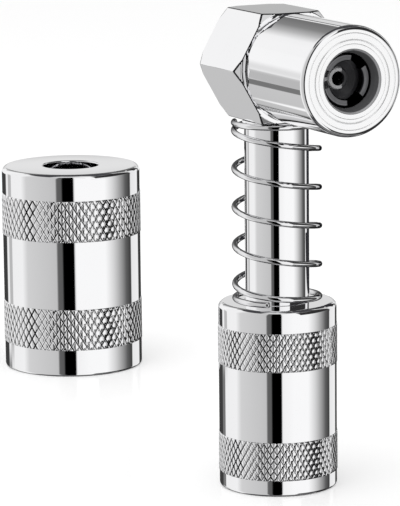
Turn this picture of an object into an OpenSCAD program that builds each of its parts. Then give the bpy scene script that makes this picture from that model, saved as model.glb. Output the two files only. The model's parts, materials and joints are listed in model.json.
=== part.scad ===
// Right angle grease coupler: a nozzle head on a straight stem, with a spring-loaded
// knurled sleeve that locks it on a straight coupler, and a second, wider sleeve.
// Millimetres. +Z runs up the stem from the mouth of the fitted sleeve. The nozzle points along +X.

/* [Sleeves] */
// Diameter of the straight coupler that the fitted sleeve slips over
coupler_d = 16; // [15:0.1:17]
// Diameter of the straight coupler that the wide sleeve slips over
wide_coupler_d = 23; // [20:0.1:25]
// Radial room between a sleeve's mouth and its coupler
coupler_clearance = 0.2; // [0.1:0.05:0.4]
// Wall of both sleeves at the mouth
sleeve_wall = 1.3; // [1.1:0.1:2]
// Length of the fitted sleeve
sleeve_len = 30.2; // [29:0.1:40]
// Length of the wide sleeve
wide_len = 38.2; // [30:0.1:45]
// Depth of the mouth bore in both sleeves
mouth_depth = 11; // [8:0.5:12.5]
// Radial step from the mouth bore in to the bore behind it
mouth_step = 0.2; // [0.1:0.05:0.4]
// Thickness of the web at the closed end, which slides on the stem
web_t = 4; // [3:0.1:5]
// Rounding of the closed end's outer edge
crown_r = 0.9; // [0.4:0.1:1.2]
// Rounding of the mouth's outer edge
rim_r = 0.5; // [0.2:0.1:0.7]
// Distance of the wide sleeve from the stem, against the nozzle
wide_x = 99; // [40:0.5:120]
// Distance of the wide sleeve from the stem, square to the nozzle
wide_y = 7.5; // [0:0.5:40]

/* [Knurled bands] */
// Height of each band on the fitted sleeve
band_h = 6.2; // [4:0.1:8]
// Plain length between the fitted sleeve's mouth and its lower band
band_low = 2.6; // [1:0.1:5]
// Plain length between the fitted sleeve's closed end and its upper band
band_high = 4.3; // [2:0.1:6]
// Height of each band on the wide sleeve
wide_band_h = 7.7; // [5:0.1:9]
// Plain length between each end of the wide sleeve and its band
wide_band_end = 5; // [2:0.1:6]
// How far the bands stand proud
band_proud = 0.1; // [0.05:0.05:0.2]

/* [Stem] */
// Diameter of the stem
stem_d = 10.3; // [9:0.1:11]
// Radial running room between the stem and a sleeve's web
slide_clearance = 0.1; // [0.05:0.01:0.1]
// Grease passage through the stem
passage_d = 3.2; // [2:0.1:4]
// Threaded spigot that screws up into the hex body
spigot_d = 8; // [6.5:0.1:8.5]
// Length of the spigot above the hex body's lower flat
spigot_len = 4.7; // [3:0.1:4.9]
// Length of the stem below the retaining ring
stem_tail = 3.4; // [2.5:0.1:5]
// Thickness of the seal washer on the stem's shoulder
seal_washer_t = 0.8; // [0.5:0.1:1.2]
// How far the seal washer stands out past the stem
seal_washer_lip = 0.3; // [0.1:0.1:0.6]

/* [Sleeve stop] */
// Outside diameter of the loose washer that stops the sleeve
stop_d = 13; // [12.5:0.1:14]
// Thickness of the stop washer
stop_t = 1; // [0.8:0.1:1.5]
// Depth of the recess under the web that carries the stop washer
recess_depth = 0.6; // [0.3:0.1:0.7]
// Room round and inside the stop washer
stop_clearance = 0.12; // [0.1:0.01:0.2]
// Outside diameter of the retaining ring
ring_d = 12; // [11.5:0.1:12.5]
// Thickness of the retaining ring
ring_t = 1; // [0.8:0.1:1.2]
// Depth of the retaining ring's groove in the stem
ring_groove = 0.6; // [0.4:0.1:0.8]
// Width of the opening in the retaining ring
ring_opening = 4; // [2:0.5:6]

/* [Return spring] */
// Room for the spring between the fitted sleeve and the hex body
spring_room = 29.35; // [24:0.05:34]
// Outside diameter of the return spring
spring_d = 14.5; // [13.5:0.1:15.5]
// Wire of the return spring
spring_wire = 0.95; // [0.7:0.05:1.1]
// Turns of the return spring, end turns included
spring_turns = 6.25; // [5:0.25:8]
// Direction of the wire's lower tip, from +X towards +Y
spring_tip_angle = -38; // [-180:1:180]

/* [Grease fitting] */
// Thread of the grease fitting, and of its hole in the stem
fitting_thread_d = 6; // [5.5:0.1:6.5]
// Length of that thread
fitting_thread_len = 5.5; // [4:0.1:7]
// Hexagon of the grease fitting across its flats
fitting_hex_w = 7; // [7:0.1:8]
// Height of that hexagon
fitting_hex_h = 3; // [2:0.1:4]
// Length of the grease fitting below its hexagon
fitting_nose_len = 6; // [5.5:0.1:6.5]
// Diameter of the head that a coupler's jaws grip
nipple_d = 6.5; // [6.4:0.05:6.7]
// Height of the head's straight land
nipple_land_h = 1.2; // [0.8:0.1:1.4]
// Height of the cone from the land down to the tip
nipple_cone_h = 2.6; // [2:0.1:2.9]
// Diameter of the flat tip
nipple_tip_d = 3.2; // [3:0.1:3.6]
// Diameter of the neck above the head
nipple_neck_d = 5; // [4.6:0.1:5.2]
// Bore that holds the ball and its spring
fitting_bore_d = 2.6; // [2.4:0.05:2.8]
// Hole in the tip and through the thread
fitting_hole_d = 1.6; // [1.2:0.1:1.7]
// Lip at the tip that the ball seats on
fitting_lip_t = 0.4; // [0.3:0.1:0.6]
// Diameter of the check ball
ball_d = 2.4; // [2.35:0.05:2.4]
// Wire of the check ball's spring
ball_spring_wire = 0.25; // [0.2:0.05:0.35]
// Turns of the check ball's spring
ball_spring_turns = 7; // [5:0.5:8]

/* [Head] */
// Hexagon of the head across its flats
hex_w = 17.5; // [17:0.1:19]
// Distance of the hexagon's front face from the stem's axis
hex_reach = 5.9; // [5.5:0.1:6.2]
// Length of the hexagon along the nozzle
hex_len = 13.7; // [12:0.1:15]
// Angle between the hexagon's end faces and the chamfers round them
hex_chamfer_angle = 45; // [30:1:50]
// Radial depth of those chamfers at the hexagon's corners
hex_chamfer_depth = 0.9; // [0.5:0.1:1.2]
// Diameter of the threaded boss that carries the barrel
boss_d = 13; // [12.6:0.1:13.4]
// Length of the boss in front of the hexagon
boss_len = 4.2; // [3.8:0.1:4.6]
// Grease port from the stem up to the cross bore
port_d = 3; // [2:0.1:3.4]
// Depth of the blind cross bore behind the stem's axis
blind_depth = 2.5; // [1.8:0.1:3]
// Section of the seal ring between hexagon and barrel
barrel_ring_t = 0.48; // [0.4:0.02:0.7]
// Room that the seal ring keeps from the hexagon and from the barrel
barrel_ring_gap = 0.01; // [0.01:0.01:0.1]

/* [Barrel] */
// Outside diameter of the barrel
barrel_d = 17.2; // [16.4:0.1:18]
// Length of the barrel
barrel_len = 18.7; // [18:0.1:20]
// Rounding of the barrel's front rim
barrel_rim_r = 0.5; // [0.3:0.1:0.8]
// Rounding of the barrel's rear edge
barrel_heel_r = 0.3; // [0.1:0.1:0.6]
// Diameter of the nozzle's mouth at the front face
mouth_d = 10; // [9.4:0.1:10.6]
// Diameter at the narrow end of the jaws' cone
throat_d = 8.5; // [8.3:0.1:9]
// Depth of the mouth's lead-in from the face to the throat
mouth_lead = 1.6; // [1.2:0.1:1.8]
// Length of the jaws' cone behind the throat
cone_len = 6.7; // [6.5:0.1:7]
// Half angle of the jaws' cone
cone_angle = 15; // [13:0.5:16]
// Diameter of the fine turned groove in the front face
face_groove_d = 12.8; // [12.4:0.1:13.2]
// Width of that groove
face_groove_w = 0.25; // [0.15:0.05:0.4]
// Depth of that groove
face_groove_depth = 0.15; // [0.1:0.05:0.3]

/* [Jaws and seal] */
// Diameter inside the jaws' gripping lips
jaw_lip_d = 5.9; // [5.9:0.05:6.2]
// Length of the gripping lip along the nozzle
jaw_lip_len = 1.2; // [1:0.1:1.4]
// Diameter inside the jaws behind the lips
jaw_relief_d = 7.2; // [7.2:0.05:7.4]
// Angle that each jaw covers
jaw_angle = 76; // [60:1:100]
// Turn of the three jaws about the nozzle, from +Y towards +Z
jaw_turn = -5.5; // [-60:0.5:60]
// Bevel on the front inner edge of each jaw
jaw_bevel = 0.2; // [0.1:0.05:0.3]
// Depth of the jaws' front faces behind the barrel's face
jaw_depth = 1.9; // [1.7:0.1:2]
// Room between the jaws and the cone, square to the cone
jaw_gap = 0.05; // [0.03:0.01:0.1]
// Thickness of the follower collar behind the jaws
collar_t = 1.2; // [1:0.1:1.4]
// Room between the collar and the barrel's bore
collar_gap = 0.2; // [0.1:0.05:0.25]
// Diameter of the seal piston's stem
piston_d = 6; // [5.8:0.1:6.1]
// Radial running room of the piston in the cross bore
piston_gap = 0.05; // [0.03:0.01:0.1]
// Hole through the piston
piston_hole_d = 2.4; // [2:0.1:2.6]
// Diameter of the flange that stops the piston against the collar
piston_flange_d = 8.4; // [8:0.1:8.8]
// Thickness of that flange
piston_flange_t = 0.9; // [0.7:0.1:1.2]
// Length of the piston behind the flange
piston_tail = 9.4; // [9.2:0.1:9.8]
// Diameter of the spigot that carries the nozzle seal
seal_spigot_d = 3.6; // [3.4:0.1:4]
// Length of that spigot
seal_spigot_len = 1.2; // [0.8:0.1:1.3]
// Outside diameter of the nozzle seal
seal_d = 7; // [6.6:0.1:7]
// Length of the nozzle seal
seal_len = 2.5; // [2.4:0.1:2.8]
// Depth of the seal's front rim behind the barrel's face
seal_depth = 4.2; // [4.1:0.1:4.6]
// Diameter of the seal's cup at its rim, where the tip of a grease fitting beds in
seal_cup_d = 5.6; // [5:0.1:6]
// Depth of that cup, down to the hole
seal_cup_depth = 1; // [0.7:0.1:1.1]
// Width of the piston's seal ring groove
piston_groove_w = 1.3; // [1.2:0.1:1.5]
// Section of the piston's seal ring
piston_ring_t = 0.96; // [0.9:0.02:1]
// Distance from the piston's rear end to that groove
piston_groove_x = 2.6; // [2.4:0.1:3]
// Wire of the jaw spring
jaw_spring_wire = 0.9; // [0.7:0.05:0.95]
// Outside diameter of the jaw spring
jaw_spring_d = 11.4; // [11:0.1:11.8]
// Turns of the jaw spring
jaw_spring_turns = 3; // [2.5:0.25:3.25]
// Wire of the seal spring
seal_spring_wire = 0.5; // [0.4:0.05:0.6]
// Outside diameter of the seal spring
seal_spring_d = 5.6; // [5.2:0.1:5.7]
// Turns of the seal spring
seal_spring_turns = 6; // [5:0.5:7]

/* [Fits] */
// Radial room in the threads and on the spigots
thread_gap = 0.02; // [0.01:0.01:0.05]
// Room between faces of pieces that move against each other
seat_gap = 0.05; // [0.02:0.01:0.08]

/* [Hidden] */
$fn = 96;
jaw_count = 3;

// Half angle of the point that a drill leaves
drill_point_angle = 59;

// Length that a threaded hole is deeper than the thread in it
thread_runout = 0.5;

// Overshoot that keeps a cut clear of the face it leaves
cut = 0.5;

// Heights up the stem
web_z = sleeve_len - web_t;
stop_top_z = web_z + recess_depth;
ring_top_z = stop_top_z - stop_t;
ring_z = ring_top_z - ring_t;
stem_z = ring_z - stem_tail;
hex_flat_z = sleeve_len + spring_room;
shoulder_z = hex_flat_z - seal_washer_t;
spigot_top_z = hex_flat_z + spigot_len;
head_z = hex_flat_z + hex_w / 2;

// Heights down the grease fitting
nipple_tip_z = stem_z - fitting_hex_h - fitting_nose_len;
nipple_land_z = nipple_tip_z + nipple_cone_h;
nipple_neck_z = nipple_land_z + nipple_land_h;
ball_seat_z = nipple_tip_z + fitting_lip_t;
ball_seat_angle = 45;
ball_z = ball_seat_z + (ball_d / 2) / sin(ball_seat_angle) - (fitting_hole_d / 2) / tan(ball_seat_angle)
    + seat_gap / sin(ball_seat_angle);
ball_seat_h = (fitting_bore_d - fitting_hole_d) / 2 / tan(ball_seat_angle);
ball_spring_d = fitting_bore_d - 4 * seat_gap;
ball_spring_reach = (ball_d + ball_spring_wire) / 2 + seat_gap;
ball_spring_z = ball_z - ball_spring_wire / 2
    + sqrt(pow(ball_spring_reach, 2) - pow((ball_spring_d - ball_spring_wire) / 2, 2));

// Distances out along the nozzle from the stem's axis
hex_front = hex_reach;
hex_rear = hex_front - hex_len;
boss_front = hex_front + boss_len;
barrel_rear = hex_front + barrel_ring_t + 2 * barrel_ring_gap;
barrel_front = barrel_rear + barrel_len;
throat_x = barrel_front - mouth_lead;
cone_rear = throat_x - cone_len;
jaw_front = barrel_front - jaw_depth;
jaw_rear = cone_rear + seat_gap;
collar_front = jaw_rear - seat_gap;
collar_rear = collar_front - collar_t;
flange_front = collar_rear - seat_gap;
flange_rear = flange_front - piston_flange_t;
piston_rear = flange_rear - piston_tail;
seal_front = barrel_front - seal_depth;
seal_rear = seal_front - seal_len;
piston_front = seal_rear + seal_spigot_len;

// Ends of the springs: turns that lie flat, then turns over which the pitch grows
return_spring_ends = [0.5, 0.7];
jaw_spring_ends = [0.1, 0.4];
small_spring_ends = [0.2, 0.4];

// Rings of points in each turn of a spring, and points in each ring
outer_steps = 24;
inner_steps = 20;
small_steps = 15;
wire_sides = 8;
small_wire_sides = 6;

// Radii of the nozzle's inside
bore_r = boss_d / 2 + thread_gap;
cross_r = piston_d / 2 + piston_gap;
collar_r = bore_r - collar_gap;
lip_slope = 45;

// Sleeve diameters
sleeve_d = coupler_d + 2 * (coupler_clearance + sleeve_wall);
wide_d = wide_coupler_d + 2 * (coupler_clearance + sleeve_wall);

chrome = [0.82, 0.83, 0.85];
steel = [0.55, 0.56, 0.58];
dark_steel = [0.25, 0.25, 0.27];
rubber = [0.08, 0.08, 0.09];
seal_grey = [0.3, 0.3, 0.31];

// Radius of the jaws' cone at a distance along the nozzle
function cone_r(x) = throat_d / 2 + (throat_x - x) * tan(cone_angle);

// Rise of a coil in pitches, from its end to a number of turns in
function half_rise(turn, flat, ramp) =
    turn <= flat ? 0
    : turn <= flat + ramp ? pow(turn - flat, 2) / (2 * ramp)
    : turn - flat - ramp / 2;

// Rise in pitches over a whole coil whose two ends are alike
function coil_rise(turn, turns, flat, ramp) =
    turn <= turns / 2
    ? half_rise(turn, flat, ramp)
    : turns - 2 * flat - ramp - half_rise(turns - turn, flat, ramp);

// Share of the full pitch at a number of turns
function coil_slope(turn, turns, flat, ramp) =
    max(0, min(1, (turn - flat) / ramp, (turns - turn - flat) / ramp));

// One corner of the wire's section: radial part, then the part square to wire and radius
function coil_corner(a, z, tilt, hand, r, wire_r, side) =
    let (out = r + wire_r * cos(side), lean = wire_r * sin(side))
    [
        out * cos(a) - lean * sin(tilt) * sin(a),
        out * sin(a) + lean * sin(tilt) * cos(a),
        z - lean * hand * cos(tilt)
    ];

// Nozzle parts are drawn up +Z from the stem's axis and laid along +X
module along_nozzle(x) {
    translate([x, 0, head_z])
        rotate([0, 90, 0])
            children();
}

// Coil spring between two flat seats, standing on z = 0
// hand is 1 for a right hand coil and -1 for a left hand one
// ends gives the turns that lie flat at each end, then the turns over which the pitch grows
module coil(outer_d, wire, room, turns, ends, hand, start, steps, sides) {
    flat = ends[0];
    ramp = ends[1];
    mean_r = (outer_d - wire) / 2;
    pitch = (room - wire) / (turns - 2 * flat - ramp);
    rings = ceil(turns * steps);
    corners = [
        for (i = [0:rings])
            let (
                turn = turns * i / rings,
                tilt = atan(pitch * coil_slope(turn, turns, flat, ramp) / (2 * PI * mean_r))
            )
            for (k = [0:sides - 1])
                coil_corner(
                    start + hand * 360 * turn,
                    wire / 2 + pitch * coil_rise(turn, turns, flat, ramp),
                    tilt, hand, mean_r, wire / 2, 360 * k / sides
                )
    ];
    skin = [
        for (i = [0:rings - 1])
            for (k = [0:sides - 1])
                let (
                    a = i * sides + k,
                    b = i * sides + (k + 1) % sides
                )
                each [[a, a + sides, b + sides], [a, b + sides, b]]
    ];
    start_cap = [[for (k = [0:sides - 1]) k]];
    end_cap = [[for (k = [sides - 1:-1:0]) rings * sides + k]];
    polyhedron(points = corners, faces = concat(skin, start_cap, end_cap));
}

// Round bar on z = 0 with its lower and upper outer edges rounded
module round_bar(d, h, low_r, high_r) {
    rotate_extrude() {
        square([d / 2 - low_r, h / 2]);
        translate([0, low_r])
            square([d / 2, h - low_r - high_r]);
        translate([0, h / 2])
            square([d / 2 - high_r, h / 2]);
        intersection() {
            translate([d / 2 - low_r, low_r])
                circle(low_r);
            square([d / 2, h]);
        }
        intersection() {
            translate([d / 2 - high_r, h - high_r])
                circle(high_r);
            square([d / 2, h]);
        }
    }
}

// Seal ring of round section lying in the plane z = 0
module seal_ring(centre_r, section) {
    rotate_extrude()
        translate([centre_r, 0])
            circle(d = section);
}

// Sleeve standing on its open mouth, with two knurled bands
module sleeve(outer_d, length, bands_h, low, high) {
    mouth_r = outer_d / 2 - sleeve_wall;
    difference() {
        union() {
            round_bar(outer_d, length, rim_r, crown_r);
            for (z = [low, length - high - bands_h])
                translate([0, 0, z])
                    cylinder(d = outer_d + 2 * band_proud, h = bands_h);
        }
        translate([0, 0, -cut])
            cylinder(r = mouth_r, h = mouth_depth + cut);
        cylinder(r = mouth_r - mouth_step, h = length - web_t);
        cylinder(d = stop_d + 2 * stop_clearance, h = length - web_t + recess_depth);
        cylinder(d = stem_d + 2 * slide_clearance, h = length + cut);
    }
}

// Sector of a jaw: cone outside, gripping lip and relief inside
module jaw(index) {
    lip_r = jaw_lip_d / 2;
    relief_r = jaw_relief_d / 2;
    wall_gap = jaw_gap / cos(cone_angle);
    front = jaw_front - jaw_rear;
    lip_top = front - jaw_bevel;
    lip_low = lip_top - jaw_lip_len;
    lip_root = lip_low - (relief_r - lip_r) / tan(lip_slope);
    along_nozzle(jaw_rear)
        rotate([0, 0, 90 + jaw_turn + (index - 1) * 360 / jaw_count - jaw_angle / 2])
            rotate_extrude(angle = jaw_angle)
                polygon([
                    [relief_r, 0],
                    [cone_r(jaw_rear) - wall_gap, 0],
                    [cone_r(jaw_front) - wall_gap, front],
                    [lip_r + jaw_bevel, front],
                    [lip_r, lip_top],
                    [lip_r, lip_low],
                    [relief_r, lip_root]
                ]);
}

// Hexagonal block with its threaded boss, cross bore, port and stem socket
module hex_body() {
    corner_r = hex_w / 2 / cos(30);
    chamfer_r = corner_r - hex_chamfer_depth;
    outer_r = corner_r + cut;
    chamfer_h = (outer_r - chamfer_r) * tan(hex_chamfer_angle);
    color(chrome)
        difference() {
            union() {
                along_nozzle(hex_rear)
                    intersection() {
                        rotate([0, 0, 30])
                            cylinder(r = corner_r, h = hex_len, $fn = 6);
                        rotate_extrude()
                            polygon([
                                [0, 0],
                                [chamfer_r, 0],
                                [outer_r, chamfer_h],
                                [outer_r, hex_len - chamfer_h],
                                [chamfer_r, hex_len],
                                [0, hex_len]
                            ]);
                    }
                along_nozzle(0)
                    cylinder(d = boss_d, h = boss_front);
            }
            along_nozzle(-blind_depth)
                cylinder(r = cross_r, h = boss_front + blind_depth + cut);
            translate([0, 0, hex_flat_z - cut])
                cylinder(d = spigot_d + 2 * thread_gap, h = spigot_len + cut);
            translate([0, 0, hex_flat_z])
                cylinder(d = port_d, h = hex_w / 2);
        }
}

// Barrel of the nozzle: mouth, jaws' cone and the bore that screws on the boss
module nose_barrel() {
    color(chrome)
        along_nozzle(barrel_rear)
            difference() {
                round_bar(barrel_d, barrel_len, barrel_heel_r, barrel_rim_r);
                translate([0, 0, -cut])
                    cylinder(r = bore_r, h = cone_rear - barrel_rear + cut);
                translate([0, 0, cone_rear - barrel_rear])
                    cylinder(r1 = cone_r(cone_rear), r2 = cone_r(throat_x), h = cone_len);
                translate([0, 0, throat_x - barrel_rear])
                    cylinder(d1 = throat_d, d2 = mouth_d, h = mouth_lead);
                translate([0, 0, barrel_len - face_groove_depth])
                    difference() {
                        cylinder(d = face_groove_d + face_groove_w, h = face_groove_depth + cut);
                        cylinder(d = face_groove_d - face_groove_w, h = face_groove_depth + cut);
                    }
            }
}

// Seal ring in the joint between hexagon and barrel
module barrel_o_ring() {
    color(rubber)
        along_nozzle(hex_front + barrel_ring_gap + barrel_ring_t / 2)
            seal_ring(boss_d / 2 + barrel_ring_t, barrel_ring_t);
}

// Stem: spigot on top, threaded hole below, groove for the retaining ring
module stem_tube() {
    hole_r = fitting_thread_d / 2 + thread_gap;
    hole_top = stem_z + fitting_thread_len + thread_runout;
    point_h = (hole_r - passage_d / 2) / tan(drill_point_angle);
    color(chrome)
        difference() {
            union() {
                translate([0, 0, stem_z])
                    cylinder(d = stem_d, h = shoulder_z - stem_z);
                translate([0, 0, stem_z])
                    cylinder(d = spigot_d, h = spigot_top_z - stem_z);
            }
            translate([0, 0, stem_z])
                cylinder(d = passage_d, h = spigot_top_z - stem_z + cut);
            translate([0, 0, stem_z - cut])
                cylinder(r = hole_r, h = hole_top - stem_z + cut);
            translate([0, 0, hole_top])
                cylinder(r1 = hole_r, d2 = passage_d, h = point_h);
            translate([0, 0, ring_z])
                difference() {
                    cylinder(d = stem_d + cut, h = ring_t);
                    cylinder(d = stem_d - 2 * ring_groove, h = ring_t);
                }
        }
}

// Seal washer between the stem's shoulder and the hexagon
module stem_seal_washer() {
    color(steel)
        translate([0, 0, shoulder_z])
            difference() {
                cylinder(d = stem_d + 2 * seal_washer_lip, h = seal_washer_t);
                translate([0, 0, -cut])
                    cylinder(d = spigot_d + 2 * thread_gap, h = seal_washer_t + 2 * cut);
            }
}

module jaw_1() {
    color(dark_steel) jaw(1);
}

module jaw_2() {
    color(dark_steel) jaw(2);
}

module jaw_3() {
    color(dark_steel) jaw(3);
}

// Follower collar that the jaw spring presses against the jaws
module jaw_collar() {
    color(steel)
        along_nozzle(collar_rear)
            difference() {
                cylinder(r = collar_r, h = collar_t);
                translate([0, 0, -cut])
                    cylinder(r = cross_r, h = collar_t + 2 * cut);
            }
}

module jaw_spring() {
    color(steel)
        along_nozzle(boss_front)
            coil(
                jaw_spring_d, jaw_spring_wire, collar_rear - boss_front,
                jaw_spring_turns, jaw_spring_ends, 1, 0, inner_steps, wire_sides
            );
}

// Piston that carries grease and the nozzle seal
module seal_piston() {
    color(steel)
        along_nozzle(piston_rear)
            difference() {
                union() {
                    cylinder(d = piston_d, h = seal_rear - piston_rear);
                    translate([0, 0, piston_tail])
                        cylinder(d = piston_flange_d, h = piston_flange_t);
                    cylinder(d = seal_spigot_d, h = piston_front - piston_rear);
                }
                translate([0, 0, -cut])
                    cylinder(d = piston_hole_d, h = piston_front - piston_rear + 2 * cut);
                translate([0, 0, piston_groove_x])
                    difference() {
                        cylinder(d = piston_d + cut, h = piston_groove_w);
                        cylinder(r = cross_r - piston_ring_t - seat_gap, h = piston_groove_w);
                    }
            }
}

// Rubber seal on the piston's front, with a cup round its hole
module nozzle_seal() {
    color(seal_grey)
        along_nozzle(seal_rear)
            difference() {
                cylinder(d = seal_d, h = seal_len);
                translate([0, 0, -cut])
                    cylinder(d = seal_spigot_d + 2 * thread_gap, h = seal_spigot_len + cut);
                cylinder(d = piston_hole_d, h = seal_len + cut);
                translate([0, 0, seal_len - seal_cup_depth])
                    cylinder(d1 = piston_hole_d, d2 = seal_cup_d, h = seal_cup_depth);
            }
}

module piston_o_ring() {
    color(rubber)
        along_nozzle(piston_rear + piston_groove_x + piston_groove_w / 2)
            seal_ring(cross_r - seat_gap / 2 - piston_ring_t / 2, piston_ring_t);
}

module seal_spring() {
    color(steel)
        along_nozzle(-blind_depth)
            coil(
                seal_spring_d, seal_spring_wire, piston_rear + blind_depth,
                seal_spring_turns, small_spring_ends, 1, 90, small_steps, small_wire_sides
            );
}

// Left hand spring whose closed ends lie on the sleeve and under the hexagon
module return_spring() {
    color(chrome)
        translate([0, 0, sleeve_len])
            coil(
                spring_d, spring_wire, spring_room,
                spring_turns, return_spring_ends, -1, spring_tip_angle, outer_steps, wire_sides
            );
}

module knurled_sleeve() {
    color(chrome) sleeve(sleeve_d, sleeve_len, band_h, band_low, band_high);
}

// Loose washer carried in the recess under the web
module stop_washer() {
    color(steel)
        translate([0, 0, ring_top_z])
            difference() {
                cylinder(d = stop_d, h = stop_t);
                translate([0, 0, -cut])
                    cylinder(d = stem_d + 2 * stop_clearance, h = stop_t + 2 * cut);
            }
}

// Open ring sprung into the groove of the stem
module retaining_ring() {
    color(dark_steel)
        translate([0, 0, ring_z])
            linear_extrude(ring_t)
                difference() {
                    circle(d = ring_d);
                    circle(d = stem_d - 2 * ring_groove + 2 * seat_gap);
                    translate([0, -ring_opening / 2])
                        square([ring_d, ring_opening]);
                }
}

// Grease fitting: thread and hexagon above, gripping head and tip below
module grease_fitting() {
    neck_r = nipple_neck_d / 2;
    head_r = nipple_d / 2;
    thread_r = fitting_thread_d / 2;
    hole_r = fitting_hole_d / 2;
    ball_bore_r = fitting_bore_d / 2;
    hex_z = stem_z - fitting_hex_h;
    thread_top_z = stem_z + fitting_thread_len;
    color(steel)
        difference() {
            union() {
                rotate_extrude()
                    polygon([
                        [0, nipple_tip_z],
                        [nipple_tip_d / 2, nipple_tip_z],
                        [head_r, nipple_land_z],
                        [head_r, nipple_neck_z],
                        [neck_r, nipple_neck_z + head_r - neck_r],
                        [neck_r, hex_z + fitting_hex_h / 2],
                        [thread_r, hex_z + fitting_hex_h / 2],
                        [thread_r, thread_top_z],
                        [0, thread_top_z]
                    ]);
                translate([0, 0, hex_z])
                    cylinder(d = fitting_hex_w / cos(30), h = fitting_hex_h, $fn = 6);
            }
            rotate_extrude()
                polygon([
                    [0, nipple_tip_z - cut],
                    [hole_r, nipple_tip_z - cut],
                    [hole_r, ball_seat_z],
                    [ball_bore_r, ball_seat_z + ball_seat_h],
                    [ball_bore_r, stem_z],
                    [hole_r, stem_z],
                    [hole_r, thread_top_z + cut],
                    [0, thread_top_z + cut]
                ]);
        }
}

module fitting_ball() {
    color(dark_steel)
        translate([0, 0, ball_z])
            sphere(d = ball_d);
}

module fitting_spring() {
    color(steel)
        translate([0, 0, ball_spring_z])
            coil(
                ball_spring_d, ball_spring_wire, stem_z - ball_spring_z,
                ball_spring_turns, small_spring_ends, 1, 0, small_steps, small_wire_sides
            );
}

// Second sleeve, for wider couplers, standing beside the first
module wide_sleeve() {
    color(chrome)
        translate([-wide_x, wide_y, 0])
            sleeve(wide_d, wide_len, wide_band_h, wide_band_end, wide_band_end);
}

hex_body();
nose_barrel();
barrel_o_ring();
stem_tube();
stem_seal_washer();
jaw_1();
jaw_2();
jaw_3();
jaw_collar();
jaw_spring();
seal_piston();
nozzle_seal();
piston_o_ring();
seal_spring();
return_spring();
knurled_sleeve();
stop_washer();
retaining_ring();
grease_fitting();
fitting_ball();
fitting_spring();
wide_sleeve();
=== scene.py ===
"""Looks of the right angle grease coupler and its wide sleeve: polished chrome in a white studio."""
import json
import math
import random

import bmesh
import bpy
from mathutils import Matrix, Vector


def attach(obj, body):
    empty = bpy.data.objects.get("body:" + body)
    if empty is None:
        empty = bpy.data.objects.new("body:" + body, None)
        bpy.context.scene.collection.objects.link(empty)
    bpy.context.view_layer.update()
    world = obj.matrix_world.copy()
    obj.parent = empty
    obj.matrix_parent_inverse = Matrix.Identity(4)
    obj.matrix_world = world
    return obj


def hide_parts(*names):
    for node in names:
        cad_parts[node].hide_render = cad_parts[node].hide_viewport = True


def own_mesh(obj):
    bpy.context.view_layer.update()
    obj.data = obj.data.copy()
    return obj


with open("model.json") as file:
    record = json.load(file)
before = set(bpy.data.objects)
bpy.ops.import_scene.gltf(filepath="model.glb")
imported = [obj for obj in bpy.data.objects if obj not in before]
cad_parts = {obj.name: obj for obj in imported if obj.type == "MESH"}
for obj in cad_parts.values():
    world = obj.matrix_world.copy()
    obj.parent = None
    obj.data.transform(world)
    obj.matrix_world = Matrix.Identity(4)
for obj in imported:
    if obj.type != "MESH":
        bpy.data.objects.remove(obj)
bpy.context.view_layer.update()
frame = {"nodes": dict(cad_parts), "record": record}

# Shapes are written in millimetres, as the CAD source is, and scaled when their mesh is made
MM = 0.001

# Camera: where the photograph was taken from, what it aims at, and the length of its lens
VIEW_AZIMUTH = math.radians(64.0)
VIEW_ELEVATION = math.radians(10.47)
VIEW_ROLL = math.radians(-0.6)
VIEW_DISTANCE = 503.6
TARGET_RIGHT = -12.35
TARGET_HEIGHT = 38.0
SENSOR_HEIGHT = 36.0
LENS = 223.6

# Sleeves: lengths, outer radii, and where the wide one stands
SLEEVE_LEN = 30.2
SLEEVE_R = 9.5
WIDE_LEN = 38.2
WIDE_R = 13.0
WIDE_PLACE = (-99.0, 7.5)

# What both sleeves share: the mouth and the bore behind it, the bands' seats, the web, its hole and recess
MOUTH_WALL = 1.3
MOUTH_DEPTH = 11.0
BORE_STEP = 0.2
SEAT_DEPTH = 0.25
WEB = 4.0
SLEEVE_HOLE_R = 5.25
RECESS_R = 6.62
RECESS_DEPTH = 0.6

# Heights along the stem
STEM_Z = 21.4
SHOULDER_Z = 58.75
HEX_FLAT_Z = 59.55
HEAD_Z = 68.3

# Distances along the nozzle, from the stem's axis
HEX_REAR = -7.8
CROSS_REAR = -2.5
HEX_FRONT = 5.9
BARREL_REAR = 6.4
BOSS_FRONT = 10.1
COLLAR_REAR = 15.6
COLLAR_FRONT = 16.8
BARREL_FRONT = 25.1

# Radii of the head and the stem, then how far the jaws are turned and how wide each is, in degrees
STEM_R = 5.15
BARREL_R = 8.6
BORE_R = 6.52
BOSS_R = 6.5
CROSS_R = 3.05
JAW_TURN = -5.5
JAW_ANGLE = 76.0

# Springs: outer diameter, wire, room, turns, flat turns at each end, turns of ramp, hand, start in degrees
RETURN_SPRING = (14.5, 0.95, 29.35, 6.25, 0.5, 0.7, -1, -38)
JAW_SPRING = (11.4, 0.9, 5.5, 3, 0.1, 0.4, 1, 0)
SEAL_SPRING = (5.6, 0.5, 7.75, 6, 0.2, 0.4, 1, 90)
FITTING_SPRING = (2.4, 0.25, 6.9, 7, 0.2, 0.4, 1, 0)

TURN_STEPS = 192


# Meshes

def new_piece(name, verts, faces, material, place=None):
    """Smooth object from points in millimetres, with outward faces; place moves each point into the frame."""
    mesh = bpy.data.meshes.new(name)
    moved = [place(p) if place else p for p in verts]
    mesh.from_pydata([tuple(c * MM for c in p) for p in moved], [], faces)
    bm = bmesh.new()
    bm.from_mesh(mesh)
    bmesh.ops.remove_doubles(bm, verts=bm.verts, dist=1e-7)
    bmesh.ops.recalc_face_normals(bm, faces=bm.faces)
    bm.to_mesh(mesh)
    bm.free()
    mesh.polygons.foreach_set("use_smooth", [True] * len(mesh.polygons))
    mesh.materials.append(material)
    obj = bpy.data.objects.new(name, mesh)
    bpy.context.scene.collection.objects.link(obj)
    return obj


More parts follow.
